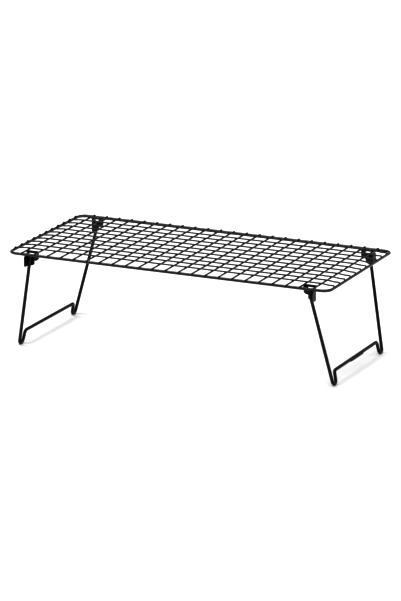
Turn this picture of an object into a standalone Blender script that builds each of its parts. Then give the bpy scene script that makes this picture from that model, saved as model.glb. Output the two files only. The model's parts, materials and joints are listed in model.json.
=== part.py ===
"""Folding wire cooling rack, built in Blender as separate solids.

A thick rim wire carries a grid of thin wires.  Four pressed brackets hang from the
grid just inside the rim, and each pair of them carries one bent-wire leg frame that
swings inwards and lies flat under the deck.

Frame: +Z up, the origin on the floor under the middle of the rack, +X along the
length, +Y to the back.  The dimensions below are in millimetres and the objects are
made in metres.
"""
import math

import bmesh
import bpy
from mathutils import Matrix, Vector

MM = 0.001
COLLECTION_NAME = "cooling_rack"

# Wires
SHORT_RADIUS = 1.15
LONG_RADIUS = 1.0
RIM_RADIUS = 2.0
LEG_RADIUS = 2.25
GAP = 0.3                     # air left between pieces that are welded or touch

# Deck
SHORT_WIRES = 23              # they run from front to back
LONG_WIRES = 11               # they run from left to right, over the short ones
SHORT_PITCH = 20.0
LONG_PITCH = 19.0
RIM_HALF_LENGTH = 241.5       # to the rim wire's centre line
RIM_HALF_DEPTH = 115.0
RIM_CORNER = 12.0             # bend radius of the rim's centre line
SHORT_HALF = 116.5            # half the length of a short wire
LONG_HALF = 241.3             # half the length of a long wire
LONG_BEND_START = 223.0       # a long wire starts to come down to the rim here
LONG_BEND_END = 234.0
RIM_DROP = 2.0                # rim below the short wires, centre line to centre line

# Leg frame, in its own plane: w from the middle plane, s down from the pivot axis
SPLAY = math.radians(12.05)   # the open leg leans outwards by this much
LEG_LENGTH = 133.4            # pivot axis to the foot's centre line
PIVOT_X = 211.2
PIVOT_DROP = 9.5              # pivot axis below the short wires' centre line
LEG_TOP_W = 108.3
FOOT_OUTER_W = 88.9
FOOT_INNER_W = 78.6
BAR_END_W = 76.8
BAR_RISE = 16.7               # crossbar above the foot, along the leg
TOP_BEND = 3.4
FOOT_BEND = 4.6
BAR_BEND = 4.2
PIN_TIP_W = 100.2             # inner end of the pivot pin's head
HEAD_THICKNESS = 1.3
HEAD_SCALE = 1.55             # head radius over wire radius

# Hinge bracket: u is the distance from the middle along the length, z is from the
# short wires' centre line
PLATE_INNER_W = 102.0
PLATE_THICKNESS = 2.0
WEB_THICKNESS = 1.9
PLATE_LEFT_U = 200.3
PLATE_RIGHT_U = 218.15
BAR_LEFT_U = 201.4
BAR_RIGHT_U = 218.6
SHOULDER_Z = -1.6
EAR_LOW_Z = -1.2
PLATE_LOW_Z = -12.6
TONGUE_LEFT_U = 207.3
TONGUE_LOW_Z = -18.4
WEB_LOW_Z = -20.5
WEB_TOP_Z = -2.0
WEB_FRONT_W = 113.8
PLATE_CORNER = 5.0
PIN_HOLE = LEG_RADIUS + 0.4
WINDOW_LEFT_U = 206.5
WINDOW_RIGHT_U = 215.0
WINDOW_TOP_Z = -1.9
WINDOW_LOW_Z = -4.4
TAB_RIGHT_U = 205.5
TAB_TOP_Z = -1.9
TAB_THICKNESS = 2.2
BEND_STEP = 0.3               # the bent-off web stands this far off the plate's faces

# Facets
SIDES_RESOLUTION = 4          # bevel resolution of a wire: 4 + 2 * 4 = 12 sides
SIDES = 4 + 2 * SIDES_RESOLUTION
HALF_FACET = math.pi / SIDES
ARC_STEP = math.radians(15)
CUTTER_LENGTH = 9.0

# Heights that follow from the numbers above
FOOT_Z = LEG_RADIUS * math.cos(HALF_FACET)
PIVOT_Z = FOOT_Z + LEG_LENGTH * math.cos(SPLAY)
SHORT_Z = PIVOT_Z + PIVOT_DROP
LONG_Z = SHORT_Z + (SHORT_RADIUS + LONG_RADIUS) * math.cos(HALF_FACET) + GAP
RIM_Z = SHORT_Z - RIM_DROP
LONG_END_Z = RIM_Z + (RIM_RADIUS + LONG_RADIUS) * math.cos(HALF_FACET) + GAP

BLACK_COAT = (0.018, 0.018, 0.019, 1.0)


def clear_scene():
    for thing in list(bpy.data.objects):
        bpy.data.objects.remove(thing, do_unlink=True)


def parts_collection():
    collection = bpy.data.collections.new(COLLECTION_NAME)
    bpy.context.scene.collection.children.link(collection)
    return collection


def coat_material(name, roughness):
    material = bpy.data.materials.new(name)
    material.use_nodes = True
    shader = material.node_tree.nodes["Principled BSDF"]
    shader.inputs["Base Color"].default_value = BLACK_COAT
    shader.inputs["Roughness"].default_value = roughness
    shader.inputs["Metallic"].default_value = 0.0
    material.diffuse_color = BLACK_COAT
    return material


def fillet(corners, radii, closed=False):
    """A flat path through corner points, with an arc of the given radius at each."""
    path = []
    count = len(corners)
    for index, (corner, radius) in enumerate(zip(corners, radii)):
        corner = Vector(corner)
        at_end = not closed and index in (0, count - 1)
        if radius == 0 or at_end:
            path.append(corner)
            continue
        before = (Vector(corners[index - 1]) - corner).normalized()
        after = (Vector(corners[(index + 1) % count]) - corner).normalized()
        opening = before.angle(after)
        reach = radius / math.tan(opening / 2)
        centre = corner + (before + after).normalized() * (radius / math.sin(opening / 2))
        start = corner + before * reach - centre
        turn = math.pi - opening
        if before.x * after.y - before.y * after.x > 0:
            turn = -turn
        steps = max(2, round(abs(turn) / ARC_STEP))
        for step in range(steps + 1):
            angle = turn * step / steps
            path.append(centre + Vector((
                start.x * math.cos(angle) - start.y * math.sin(angle),
                start.x * math.sin(angle) + start.y * math.cos(angle))))
    return path


def wire_curve(name, points, radius, scales=None, closed=False, turn=0.0):
    """A round wire along the points.

    A flat facet faces square to the curve's plane, or is turned from there by turn.
    """
    curve = bpy.data.curves.new(name, "CURVE")
    curve.dimensions = "3D"
    curve.bevel_depth = radius * MM
    curve.bevel_resolution = SIDES_RESOLUTION
    curve.use_fill_caps = not closed
    spline = curve.splines.new("POLY")
    spline.points.add(len(points) - 1)
    spline.use_cyclic_u = closed
    for index, point in enumerate(points):
        spline.points[index].co = (*(Vector(point) * MM), 1.0)
        spline.points[index].tilt = HALF_FACET + turn
        spline.points[index].radius = scales[index] if scales else 1.0
    return curve


def mesh_from(thing):
    """The evaluated mesh of an object, with any loose caps joined on; removes the object."""
    depsgraph = bpy.context.evaluated_depsgraph_get()
    mesh = bpy.data.meshes.new_from_object(thing.evaluated_get(depsgraph))
    bm = bmesh.new()
    bm.from_mesh(mesh)
    bmesh.ops.remove_doubles(bm, verts=bm.verts, dist=0.000001)
    bmesh.ops.recalc_face_normals(bm, faces=bm.faces)
    bm.to_mesh(mesh)
    bm.free()
    bpy.data.objects.remove(thing, do_unlink=True)
    return mesh


def loose_object(name, data):
    """An object in the scene's own collection, for use while a mesh is made."""
    thing = bpy.data.objects.new(name, data)
    bpy.context.scene.collection.objects.link(thing)
    return thing


def part_object(collection, name, data, material, location=(0, 0, 0)):
    thing = bpy.data.objects.new(name, data)
    collection.objects.link(thing)
    thing.location = Vector(location) * MM
    data.materials.clear()
    data.materials.append(material)
    return thing


def shade_round(mesh):
    mesh.shade_smooth()
    mesh.set_sharp_from_angle(angle=math.radians(40))


def combined(base, others, operation):
    """The mesh of base after a Boolean with each of the others, which are removed."""
    for other in others:
        modifier = base.modifiers.new(operation.lower(), "BOOLEAN")
        modifier.operation = operation
        modifier.object = other
    mesh = mesh_from(base)
    for other in others:
        bpy.data.objects.remove(other, do_unlink=True)
    return mesh


def cylinder_object(name, radius, length, segments, along):
    """A closed cylinder centred on the origin along +X or +Y, with a flat facet on top."""
    turn = Matrix.Rotation(math.pi / 2, 4, "Y" if along == "X" else "X")
    half_facet = Matrix.Rotation(math.pi / segments, 4, "Z")
    bm = bmesh.new()
    bmesh.ops.create_cone(bm, cap_ends=True, segments=segments, radius1=radius * MM,
                          radius2=radius * MM, depth=length * MM,
                          matrix=turn @ half_facet)
    bmesh.ops.recalc_face_normals(bm, faces=bm.faces)
    mesh = bpy.data.meshes.new(name)
    bm.to_mesh(mesh)
    bm.free()
    return loose_object(name, mesh)


def slab_object(name, outlines, low, high, plane):
    """A flat outline with holes, given thickness between low and high.

    plane "XZ" takes (x, z) outlines and runs low to high along Y;
    plane "YZ" takes (y, z) outlines and runs low to high along X;
    plane "XY" takes (x, y) outlines and runs low to high along Z.
    """
    curve = bpy.data.curves.new(name, "CURVE")
    curve.dimensions = "2D"
    curve.fill_mode = "BOTH"
    curve.extrude = (high - low) / 2 * MM
    for outline in outlines:
        spline = curve.splines.new("POLY")
        spline.points.add(len(outline) - 1)
        spline.use_cyclic_u = True
        for index, point in enumerate(outline):
            spline.points[index].co = (point[0] * MM, point[1] * MM, 0, 1)
    thing = loose_object(name, curve)
    middle = (low + high) / 2 * MM
    if plane == "XZ":
        thing.rotation_euler = (math.pi / 2, 0, 0)
        thing.location = (0, middle, 0)
    if plane == "YZ":
        thing.rotation_euler = (math.pi / 2, 0, math.pi / 2)
        thing.location = (middle, 0, 0)
    if plane == "XY":
        thing.location = (0, 0, middle)
    place = thing.matrix_basis.copy()
    mesh = mesh_from(thing)
    mesh.transform(place)
    return loose_object(name, mesh)


def circle(centre, radius, segments):
    turn = 2 * math.pi / segments
    return [(centre[0] + radius * math.cos(turn * step),
             centre[1] + radius * math.sin(turn * step)) for step in range(segments)]


def make_rim(collection):
    corners = [(-RIM_HALF_LENGTH, -RIM_HALF_DEPTH), (RIM_HALF_LENGTH, -RIM_HALF_DEPTH),
               (RIM_HALF_LENGTH, RIM_HALF_DEPTH), (-RIM_HALF_LENGTH, RIM_HALF_DEPTH)]
    path = fillet(corners, [RIM_CORNER] * 4, closed=True)
    curve = wire_curve("rim_wire", [(p.x, p.y, 0) for p in path], RIM_RADIUS, closed=True)
    mesh = mesh_from(loose_object("rim_wire", curve))
    shade_round(mesh)
    part_object(collection, "rim_wire", mesh, coat_material("rim_coat", 0.32),
                (0, 0, RIM_Z))


def evenly(count, pitch):
    return [(index - (count - 1) / 2) * pitch for index in range(count)]


def make_short_wires(collection):
    """Straight wires whose ends are let down onto the rim, as welding sinks them."""
    wire = cylinder_object("short_wire", SHORT_RADIUS, 2 * SHORT_HALF, SIDES, "Y")
    saddles = []
    for side in (-1, 1):
        saddle = cylinder_object("saddle", RIM_RADIUS + GAP, CUTTER_LENGTH, 32, "X")
        saddle.location = Vector((0, side * RIM_HALF_DEPTH, -RIM_DROP)) * MM
        saddles.append(saddle)
    mesh = combined(wire, saddles, "DIFFERENCE")
    shade_round(mesh)
    material = coat_material("short_wire_coat", 0.38)
    for index, x in enumerate(evenly(SHORT_WIRES, SHORT_PITCH)):
        part_object(collection, f"short_wire_{index + 1:02d}", mesh, material,
                    (x, 0, SHORT_Z))


def make_long_wires(collection):
    """Wires over the short ones, whose ends come down onto the rim's short sides."""
    drop = LONG_END_Z - LONG_Z
    half = [(LONG_HALF, 0, drop), (LONG_BEND_END, 0, drop), (LONG_BEND_START, 0, 0)]
    points = [(-x, y, z) for x, y, z in half] + list(reversed(half))
    mesh = mesh_from(loose_object("long_wire", wire_curve("long_wire", points, LONG_RADIUS)))
    shade_round(mesh)
    material = coat_material("long_wire_coat", 0.38)
    for index, y in enumerate(evenly(LONG_WIRES, LONG_PITCH)):
        part_object(collection, f"long_wire_{index + 1:02d}", mesh, material,
                    (0, y, LONG_Z))


def plate_outline():
    right = PLATE_RIGHT_U - BEND_STEP
    low = WEB_LOW_Z + BEND_STEP
    corners = [(BAR_LEFT_U, SHORT_RADIUS), (BAR_RIGHT_U, SHORT_RADIUS),
               (BAR_RIGHT_U, EAR_LOW_Z), (right, EAR_LOW_Z),
               (right, low), (TONGUE_LEFT_U + 5.0, low),
               (TONGUE_LEFT_U, TONGUE_LOW_Z), (TONGUE_LEFT_U, PLATE_LOW_Z),
               (PLATE_LEFT_U, PLATE_LOW_Z), (PLATE_LEFT_U, SHOULDER_Z),
               (BAR_LEFT_U, SHOULDER_Z)]
    radii = [0, 0, 0, 0, 0, 0, 1.5, 1.5, PLATE_CORNER, 0, 0]
    return [(p.x, p.y) for p in fillet(corners, radii, closed=True)]


def window_outline():
    corners = [(WINDOW_LEFT_U, WINDOW_LOW_Z), (WINDOW_RIGHT_U, WINDOW_LOW_Z),
               (WINDOW_RIGHT_U, WINDOW_TOP_Z), (WINDOW_LEFT_U, WINDOW_TOP_Z)]
    return corners


def web_outline():
    """The stop web seen from the side: under the rim and just clear of it."""
    rim_face = RIM_HALF_DEPTH - RIM_RADIUS - GAP
    under_rim = RIM_Z - SHORT_Z - RIM_RADIUS - GAP
    inner = PLATE_INNER_W + BEND_STEP
    return [(inner, WEB_TOP_Z), (rim_face - 3.5, WEB_TOP_Z),
            (rim_face - 2.2, under_rim), (WEB_FRONT_W, under_rim - 3.4),
            (WEB_FRONT_W, WEB_LOW_Z + 1.5), (WEB_FRONT_W - 1.5, WEB_LOW_Z),
            (inner, WEB_LOW_Z)]


def bracket_mesh(name, side_x, side_y):
    """One hinge bracket, about the point on the pivot axis in the middle plane."""
    def flip_x(outline):
        return [(side_x * u, z) for u, z in outline]

    def span(low, high, side):
        return sorted((side * low, side * high))

    hole = circle((PIVOT_X, -PIVOT_DROP), PIN_HOLE, 24)
    plate_low, plate_high = span(PLATE_INNER_W, PLATE_INNER_W + PLATE_THICKNESS, side_y)
    plate = slab_object(name, [flip_x(plate_outline()), flip_x(window_outline()),
                               flip_x(hole)], plate_low, plate_high, "XZ")
    web_low, web_high = span(PLATE_RIGHT_U - WEB_THICKNESS, PLATE_RIGHT_U, side_x)
    web = slab_object("web", [[(side_y * w, z) for w, z in web_outline()]],
                      web_low, web_high, "YZ")
    rim_face = RIM_HALF_DEPTH - RIM_RADIUS - GAP
    inner = PLATE_INNER_W + PLATE_THICKNESS / 2
    tab_outline = [(PLATE_LEFT_U + 0.4, inner), (TAB_RIGHT_U, inner),
                   (TAB_RIGHT_U, rim_face), (PLATE_LEFT_U + 0.4, rim_face)]
    tab = slab_object("tab", [[(side_x * u, side_y * w) for u, w in tab_outline]],
                      TAB_TOP_Z - TAB_THICKNESS, TAB_TOP_Z, "XY")
    return combined(plate, [web, tab], "UNION")


def make_brackets(collection):
    material = coat_material("bracket_coat", 0.42)
    for side_y, row in ((-1, "front"), (1, "back")):
        for side_x, end in ((-1, "left"), (1, "right")):
            name = f"hinge_bracket_{row}_{end}"
            mesh = bracket_mesh(name, side_x, side_y)
            part_object(collection, name, mesh, material, (0, 0, SHORT_Z))


def leg_path():
    """Half of the leg frame from the pivot pin to the middle of the crossbar, as (w, s)."""
    bar_s = LEG_LENGTH - BAR_RISE
    corners = [(PIN_TIP_W, 0), (LEG_TOP_W, 0), (FOOT_OUTER_W, LEG_LENGTH),
               (FOOT_INNER_W, LEG_LENGTH), (BAR_END_W, bar_s), (0, bar_s)]
    return fillet(corners, [0, TOP_BEND, FOOT_BEND, FOOT_BEND, BAR_BEND, 0])


def make_legs(collection):
    """Each leg frame is one bent wire whose ends are headed pins in the brackets.

    Its facets are turned by the splay, so that the feet of the open leg stand flat.
    """
    half = leg_path()[:-1]
    head_in = PIN_TIP_W + HEAD_THICKNESS
    head = [(Vector((PIN_TIP_W, 0)), HEAD_SCALE), (Vector((head_in, 0)), HEAD_SCALE),
            (Vector((head_in + 0.05, 0)), 1.0)]
    half = head + [(point, 1.0) for point in half[1:]]
    front = [((0, -point.x, -point.y), scale) for point, scale in half]
    back = [((0, point.x, -point.y), scale) for point, scale in reversed(half)]
    points = [point for point, scale in front + back]
    scales = [scale for point, scale in front + back]
    material = coat_material("leg_coat", 0.34)
    for side_x, end in ((-1, "left"), (1, "right")):
        name = f"leg_frame_{end}"
        curve = wire_curve(name, points, LEG_RADIUS, scales, turn=side_x * SPLAY)
        mesh = mesh_from(loose_object(name, curve))
        shade_round(mesh)
        leg = part_object(collection, name, mesh, material,
                          (side_x * PIVOT_X, 0, PIVOT_Z))
        leg.rotation_euler = (0, -side_x * SPLAY, 0)


def main():
    clear_scene()
    collection = parts_collection()
    make_rim(collection)
    make_short_wires(collection)
    make_long_wires(collection)
    make_brackets(collection)
    make_legs(collection)


main()
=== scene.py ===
"""The looks of the folding wire cooling rack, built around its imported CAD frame."""

import json
import math

import bmesh
import bpy
from mathutils import Matrix, Vector


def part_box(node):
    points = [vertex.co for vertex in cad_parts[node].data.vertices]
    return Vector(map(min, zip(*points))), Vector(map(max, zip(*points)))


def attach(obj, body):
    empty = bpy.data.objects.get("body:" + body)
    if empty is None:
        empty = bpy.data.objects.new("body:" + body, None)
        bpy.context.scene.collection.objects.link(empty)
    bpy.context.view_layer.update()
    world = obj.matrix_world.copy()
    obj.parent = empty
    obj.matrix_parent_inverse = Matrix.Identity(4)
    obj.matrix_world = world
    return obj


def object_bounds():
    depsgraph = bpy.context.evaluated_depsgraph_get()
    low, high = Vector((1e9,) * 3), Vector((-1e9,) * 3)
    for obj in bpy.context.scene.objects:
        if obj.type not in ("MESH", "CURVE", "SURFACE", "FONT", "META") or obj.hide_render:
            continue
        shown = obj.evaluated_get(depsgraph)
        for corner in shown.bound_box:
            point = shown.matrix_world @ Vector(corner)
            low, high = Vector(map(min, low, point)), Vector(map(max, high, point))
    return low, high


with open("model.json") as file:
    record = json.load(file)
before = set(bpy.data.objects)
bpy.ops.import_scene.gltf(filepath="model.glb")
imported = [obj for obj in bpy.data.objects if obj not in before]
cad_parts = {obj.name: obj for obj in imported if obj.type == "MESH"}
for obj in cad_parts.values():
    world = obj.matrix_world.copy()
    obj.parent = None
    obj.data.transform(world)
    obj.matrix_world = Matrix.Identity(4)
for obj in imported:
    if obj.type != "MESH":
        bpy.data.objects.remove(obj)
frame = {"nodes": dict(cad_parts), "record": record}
cad_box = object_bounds()

MM = 0.001
SHORT_WIRES = sorted(n for n in frame["nodes"] if n.startswith("short_wire_"))
LONG_WIRES = sorted(n for n in frame["nodes"] if n.startswith("long_wire_"))
BRACKETS = sorted(n for n in frame["nodes"] if n.startswith("hinge_bracket_"))
LEGS = {"left": "leg_frame_left", "right": "leg_frame_right"}
LEG_RADIUS = 2.25 * MM
BAR_RISE = 16.7 * MM          # crossbar above the foot, along the leg

# Coating
CLOUD_SCALE = 55.0
GRAIN_BUMP = 0.35
DULLEST = 0.08                # how far the grain raises and lowers the roughness
GLOSSIEST = 0.06
# Painted highlight: the paler grey laid along sharp convex edges
EDGE_HIGHLIGHT_TONE = (0.06, 0.06, 0.062, 1.0)
TOP_COAT_IOR = 1.6
TOP_COAT_ROUGHNESS = 0.16
WIRE_DARK = (0.0035, 0.0035, 0.0038)
WIRE_LIGHT = (0.007, 0.007, 0.0075)
LEG_DARK = (0.003, 0.003, 0.0033)
LEG_LIGHT = (0.006, 0.006, 0.0065)
SHEET_LIGHT = (0.0065, 0.0065, 0.007)

# Weld beads: radii along x, y and z
CROSSING_BEAD = (0.8 * MM, 0.8 * MM, 0.5 * MM)
SHORT_END_BEAD = (1.9 * MM, 1.5 * MM, 0.95 * MM)
LONG_END_BEAD = (1.5 * MM, 1.6 * MM, 0.6 * MM)
EAR_BEAD = (0.9 * MM, 1.5 * MM, 0.7 * MM)
WEB_BEAD = (1.5 * MM, 1.2 * MM, 0.6 * MM)
BEAD_LIFT = 0.1 * MM          # a bead's centre above or below the wire it lies on

# Lap weld on the right crossbar
LAP_RADIUS = 1.9 * MM
LAP_OFFSET = 1.5 * MM         # its centre line from the crossbar's
LAP_SIDES = 16
# Place along the bar in millimetres, and share of the radius
LAP_PROFILE = ((-23, 0.35), (-22, 0.6), (-19, 0.85), (-14, 1.0),
               (18, 1.0), (22, 0.95), (23, 0.8))

# Edges
MERGE_DISTANCE = 0.000002
SHARP_ANGLE = 40.0            # an edge steeper than this is shaded sharp, in degrees
BEVEL_ANGLE = 50.0            # an edge of a bracket steeper than this is bevelled
BEVEL_WIDTH = 0.3 * MM

# Stage and view
FLOOR_HALF_SIZE = 12.0
FLOOR_TONE = 0.93
WORLD_STRENGTH = 0.6
VIEW_GAMMA = 0.51             # keeps thin dark wires dark against the white floor
KEY_TOWARDS = (-0.4, 0.05, 0.9)
KEY_ANGLE = 32.0              # apparent size, in degrees
KEY_STRENGTH = 1.5
FILL_TOWARDS = (0.5, -0.6, 1.0)
FILL_ANGLE = 70.0
FILL_STRENGTH = 1.2
AZIMUTH = 24.39               # angles in degrees
ELEVATION = 15.66
ROLL = 0.16
LENS = 237.42
DISTANCE = 5.5252
AIM_RIGHT = 0.00014           # from the deck's middle, across the view
AIM_DOWN = 0.06939


def centre(node):
    low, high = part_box(node)
    return (low + high) / 2


# ---------------------------------------------------------------- materials

def coat_material(name, dark, light, roughness, grain_scale, grain_height, top_coat,
                  edge_highlight=0.0):
    """Black baked coating: cloudy tone, fine grain in the bump and gloss, a clear top coat,
    and a painted highlight along sharp edges where asked for.
    """
    material = bpy.data.materials.new(name)
    material.use_nodes = True
    nodes = material.node_tree.nodes
    links = material.node_tree.links
    shader = nodes["Principled BSDF"]
    place = nodes.new("ShaderNodeTexCoord")

    cloud = nodes.new("ShaderNodeTexNoise")
    cloud.inputs["Scale"].default_value = CLOUD_SCALE
    cloud.inputs["Detail"].default_value = 5.0
    cloud.inputs["Roughness"].default_value = 0.6
    links.new(place.outputs["Object"], cloud.inputs["Vector"])

    grain = nodes.new("ShaderNodeTexNoise")
    grain.inputs["Scale"].default_value = grain_scale
    grain.inputs["Detail"].default_value = 3.0
    grain.inputs["Roughness"].default_value = 0.55
    links.new(place.outputs["Object"], grain.inputs["Vector"])

    tone = nodes.new("ShaderNodeValToRGB")
    tone.color_ramp.elements[0].position = 0.32
    tone.color_ramp.elements[0].color = (*dark, 1.0)
    tone.color_ramp.elements[1].position = 0.72
    tone.color_ramp.elements[1].color = (*light, 1.0)
    links.new(cloud.outputs["Fac"], tone.inputs["Fac"])

    # Painted highlight: sharp convex edges (by pointiness) are lightened towards a paler grey,
    # by the amount given for the piece
    edge = nodes.new("ShaderNodeNewGeometry")
    painted_highlight_band = nodes.new("ShaderNodeMapRange")
    painted_highlight_band.inputs["From Min"].default_value = 0.53
    painted_highlight_band.inputs["From Max"].default_value = 0.62
    painted_highlight_band.inputs["To Min"].default_value = 0.0
    painted_highlight_band.inputs["To Max"].default_value = edge_highlight
    links.new(edge.outputs["Pointiness"], painted_highlight_band.inputs["Value"])
    highlighted_tone = nodes.new("ShaderNodeMix")
    highlighted_tone.data_type = "RGBA"
    links.new(painted_highlight_band.outputs["Result"], highlighted_tone.inputs["Factor"])
    links.new(tone.outputs["Color"], highlighted_tone.inputs["A"])
    highlighted_tone.inputs["B"].default_value = EDGE_HIGHLIGHT_TONE
    links.new(highlighted_tone.outputs["Result"], shader.inputs["Base Color"])

    gloss = nodes.new("ShaderNodeMapRange")
    gloss.inputs["From Min"].default_value = 0.3
    gloss.inputs["From Max"].default_value = 0.7
    gloss.inputs["To Min"].default_value = roughness - GLOSSIEST
    gloss.inputs["To Max"].default_value = roughness + DULLEST
    links.new(grain.outputs["Fac"], gloss.inputs["Value"])
    links.new(gloss.outputs["Result"], shader.inputs["Roughness"])

    bump = nodes.new("ShaderNodeBump")
    bump.inputs["Strength"].default_value = GRAIN_BUMP
    bump.inputs["Distance"].default_value = grain_height
    links.new(grain.outputs["Fac"], bump.inputs["Height"])
    links.new(bump.outputs["Normal"], shader.inputs["Normal"])

    shader.inputs["Metallic"].default_value = 0.0
    shader.inputs["Specular IOR Level"].default_value = 0.5
    shader.inputs["Coat Weight"].default_value = top_coat
    shader.inputs["Coat IOR"].default_value = TOP_COAT_IOR
    shader.inputs["Coat Roughness"].default_value = TOP_COAT_ROUGHNESS
    return material


RIM_COAT = coat_material("rim_coat", WIRE_DARK, WIRE_LIGHT, roughness=0.30,
                         grain_scale=2600.0, grain_height=0.000012, top_coat=0.9)
GRID_COAT = coat_material("grid_coat", WIRE_DARK, WIRE_LIGHT, roughness=0.34,
                          grain_scale=3000.0, grain_height=0.00001, top_coat=0.6)
LEG_COAT = coat_material("leg_coat", LEG_DARK, LEG_LIGHT, roughness=0.30,
                         grain_scale=2400.0, grain_height=0.000012, top_coat=0.15)
# The brackets carry a painted highlight along their sharp edges
SHEET_COAT = coat_material("sheet_coat", LEG_DARK, SHEET_LIGHT, roughness=0.36,
                           grain_scale=2200.0, grain_height=0.000015, top_coat=0.2,
                           edge_highlight=0.5)
WELD_COAT = coat_material("weld_coat", WIRE_DARK, WIRE_LIGHT, roughness=0.38,
                          grain_scale=3000.0, grain_height=0.000015, top_coat=0.1)


def paint(node, material):
    thing = frame["nodes"][node]
    thing.data.materials.clear()
    thing.data.materials.append(material)


paint("rim_wire", RIM_COAT)
for node in SHORT_WIRES + LONG_WIRES:
    paint(node, GRID_COAT)
for node in BRACKETS:
    paint(node, SHEET_COAT)
for node in LEGS.values():
    paint(node, LEG_COAT)


# ---------------------------------------------------------------- welds

def bead(bm, x, y, z, radii):
    """One rounded bead of weld."""
    shape = Matrix.Translation((x, y, z)) @ Matrix.Diagonal((*radii, 1.0))
    bmesh.ops.create_icosphere(bm, subdivisions=2, radius=1.0, matrix=shape)


def finished(name, bm, body):
    """Makes the bmesh an object of weld that moves with the body."""
    mesh = bpy.data.meshes.new(name)
    bm.to_mesh(mesh)
    bm.free()
    mesh.shade_smooth()
    mesh.materials.append(WELD_COAT)
    thing = bpy.data.objects.new(name, mesh)
    bpy.context.scene.collection.objects.link(thing)
    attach(thing, body)


def crossing_welds():
    """A small bead where each long wire crosses each short one."""
    bm = bmesh.new()
    for short in SHORT_WIRES:
        x = centre(short).x
        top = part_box(short)[1].z
        for long in LONG_WIRES:
            bead(bm, x, centre(long).y, top + BEAD_LIFT, CROSSING_BEAD)
    finished("crossing_welds", bm, "deck")


def rim_welds():
    """Fillets of weld where the grid's wires meet the rim."""
    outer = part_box("rim_wire")[1]
    z = outer.z + BEAD_LIFT
    bm = bmesh.new()
    for short in SHORT_WIRES:
        for side in (-1, 1):
            bead(bm, centre(short).x, side * (outer.y - 1.9 * MM), z, SHORT_END_BEAD)
    for long in LONG_WIRES:
        for side in (-1, 1):
            bead(bm, side * (outer.x - 2.0 * MM), centre(long).y, z, LONG_END_BEAD)
    finished("rim_welds", bm, "deck")


def bracket_welds():
    """Beads that hold each bracket to the short wires beside it and to the rim."""
    rim_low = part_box("rim_wire")[0]
    ear_z = centre(SHORT_WIRES[0]).z - 0.9 * MM
    bm = bmesh.new()
    for node in BRACKETS:
        low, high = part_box(node)
        side_x = math.copysign(1, centre(node).x)
        side_y = math.copysign(1, centre(node).y)
        outer = max(abs(low.x), abs(high.x))
        inner = min(abs(low.x), abs(high.x))
        near = min(abs(low.y), abs(high.y)) + 1.0 * MM
        far = max(abs(low.y), abs(high.y))
        for reach in (outer + 0.1 * MM, inner + 0.3 * MM):
            bead(bm, side_x * reach, side_y * near, ear_z, EAR_BEAD)
        bead(bm, side_x * (outer - 1.5 * MM), side_y * (far - 0.6 * MM),
             rim_low.z - BEAD_LIFT, WEB_BEAD)
    finished("bracket_welds", bm, "deck")


def ring_of(bm, middle, radius):
    """A ring of vertices round a point, in the plane across the crossbar."""
    angles = (2 * math.pi * i / LAP_SIDES for i in range(LAP_SIDES))
    return [bm.verts.new(middle + Vector((radius * math.cos(a), 0, radius * math.sin(a))))
            for a in angles]


def crossbar_lap_weld():
    """The long lap weld under the middle of the right leg's crossbar."""
    low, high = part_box(LEGS["right"])
    joints = frame["record"]["behaviour"]["joints"]
    pivot = Vector(next(j for j in joints if j["name"] == "right_leg_fold")["pos_m"])
    foot = Vector((high.x - LEG_RADIUS, 0, low.z + LEG_RADIUS))
    upwards = (pivot - foot).normalized()
    outwards = Vector((upwards.z, 0, -upwards.x))
    offset = (outwards * 0.5 - upwards).normalized() * LAP_OFFSET
    middle = foot + upwards * BAR_RISE + offset
    bm = bmesh.new()
    rings = [ring_of(bm, middle + Vector((0, y * MM, 0)), LAP_RADIUS * share)
             for y, share in LAP_PROFILE]
    for one, two in zip(rings, rings[1:]):
        for i in range(LAP_SIDES):
            bm.faces.new((one[i - 1], one[i], two[i], two[i - 1]))
    bm.faces.new(rings[0])
    bm.faces.new(reversed(rings[-1]))
    bmesh.ops.recalc_face_normals(bm, faces=bm.faces)
    finished("crossbar_lap_weld", bm, "right_leg")


crossing_welds()
rim_welds()
bracket_welds()
crossbar_lap_weld()


# ---------------------------------------------------------------- round wires and soft edges

def round_shading():
    """A node group that joins the split facets and shades them as one round surface."""
    group = bpy.data.node_groups.new("round_shading", "GeometryNodeTree")
    for in_out in ("INPUT", "OUTPUT"):
        group.interface.new_socket("Geometry", in_out=in_out, socket_type="NodeSocketGeometry")
    nodes = group.nodes
    source = nodes.new("NodeGroupInput")
    result = nodes.new("NodeGroupOutput")
    merge = nodes.new("GeometryNodeMergeByDistance")
    merge.inputs["Distance"].default_value = MERGE_DISTANCE
    plain = nodes.new("GeometryNodeRemoveAttribute")
    plain.inputs["Name"].default_value = "custom_normal"
    smooth = nodes.new("GeometryNodeSetShadeSmooth")
    smooth.domain = "FACE"
    angle = nodes.new("GeometryNodeInputMeshEdgeAngle")
    steep = nodes.new("FunctionNodeCompare")
    steep.operation = "GREATER_THAN"
    steep.inputs["B"].default_value = math.radians(SHARP_ANGLE)
    creases = nodes.new("GeometryNodeSetShadeSmooth")
    creases.domain = "EDGE"
    creases.inputs["Shade Smooth"].default_value = False
    link = group.links.new
    link(source.outputs["Geometry"], merge.inputs["Geometry"])
    link(merge.outputs["Geometry"], plain.inputs["Geometry"])
    link(plain.outputs["Geometry"], smooth.inputs["Geometry"])
    link(smooth.outputs["Geometry"], creases.inputs["Geometry"])
    link(angle.outputs["Unsigned Angle"], steep.inputs["A"])
    link(steep.outputs["Result"], creases.inputs["Selection"])
    link(creases.outputs["Geometry"], result.inputs["Geometry"])
    return group


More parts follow.
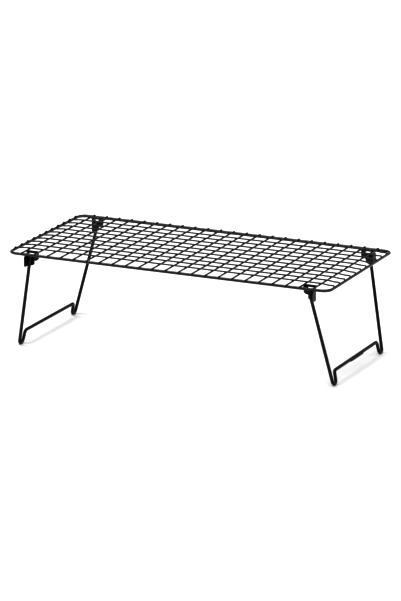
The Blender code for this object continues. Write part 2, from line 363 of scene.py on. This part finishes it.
def soften(node):
    """Takes the sharpness off a pressed piece's edges."""
    bevel = frame["nodes"][node].modifiers.new("soft_edges", "BEVEL")
    bevel.width = BEVEL_WIDTH
    bevel.segments = 2
    bevel.limit_method = "ANGLE"
    bevel.angle_limit = math.radians(BEVEL_ANGLE)
    bevel.use_clamp_overlap = True


ROUND = round_shading()
for node in frame["nodes"].values():
    node.modifiers.new("round_shading", "NODES").node_group = ROUND
for node in BRACKETS:
    soften(node)


# ---------------------------------------------------------------- stage

def stage():
    """A plain pale floor at the height of the rack's feet."""
    bm = bmesh.new()
    bmesh.ops.create_grid(bm, x_segments=1, y_segments=1, size=FLOOR_HALF_SIZE)
    mesh = bpy.data.meshes.new("floor")
    bm.to_mesh(mesh)
    bm.free()
    floor = bpy.data.objects.new("floor", mesh)
    bpy.context.scene.collection.objects.link(floor)
    floor.location.z = cad_box[0][2]
    material = bpy.data.materials.new("floor_paper")
    material.use_nodes = True
    shader = material.node_tree.nodes["Principled BSDF"]
    shader.inputs["Base Color"].default_value = (FLOOR_TONE, FLOOR_TONE, FLOOR_TONE, 1.0)
    shader.inputs["Roughness"].default_value = 0.9
    shader.inputs["Specular IOR Level"].default_value = 0.1
    mesh.materials.append(material)


def sun(name, towards, angle, strength):
    """A far soft light that shines from the direction towards."""
    data = bpy.data.lights.new(name, "SUN")
    data.angle = math.radians(angle)
    data.energy = strength
    light = bpy.data.objects.new(name, data)
    bpy.context.scene.collection.objects.link(light)
    light.rotation_euler = Vector(towards).to_track_quat("Z", "Y").to_euler()


def lights():
    """A white surround, a key light from above and a broad fill from the front right."""
    world = bpy.data.worlds.new("studio")
    bpy.context.scene.world = world
    world.use_nodes = True
    back = world.node_tree.nodes["Background"]
    back.inputs["Color"].default_value = (1.0, 1.0, 1.0, 1.0)
    back.inputs["Strength"].default_value = WORLD_STRENGTH
    bpy.context.scene.view_settings.view_transform = "Standard"
    bpy.context.scene.view_settings.gamma = VIEW_GAMMA
    sun("key", KEY_TOWARDS, KEY_ANGLE, KEY_STRENGTH)
    sun("fill", FILL_TOWARDS, FILL_ANGLE, FILL_STRENGTH)


def camera():
    """The viewpoint: front and right of the rack, a little above it, through a long lens."""
    azimuth = math.radians(AZIMUTH)
    elevation = math.radians(ELEVATION)
    roll = math.radians(ROLL)
    back = Vector((math.sin(azimuth) * math.cos(elevation),
                   -math.cos(azimuth) * math.cos(elevation), math.sin(elevation)))
    level = Vector((math.cos(azimuth), math.sin(azimuth), 0))
    right = level * math.cos(roll) + back.cross(level) * math.sin(roll)
    up = back.cross(right)
    deck_middle = Vector((0, 0, centre(SHORT_WIRES[0]).z))
    aim = deck_middle + right * AIM_RIGHT - up * AIM_DOWN
    data = bpy.data.cameras.new("camera")
    data.lens = LENS
    data.sensor_width = 36.0
    data.clip_end = 50.0
    thing = bpy.data.objects.new("camera", data)
    bpy.context.scene.collection.objects.link(thing)
    turn = Matrix((right, up, back)).transposed().to_4x4()
    thing.matrix_world = Matrix.Translation(aim + back * DISTANCE) @ turn
    bpy.context.scene.camera = thing


stage()
lights()
camera()
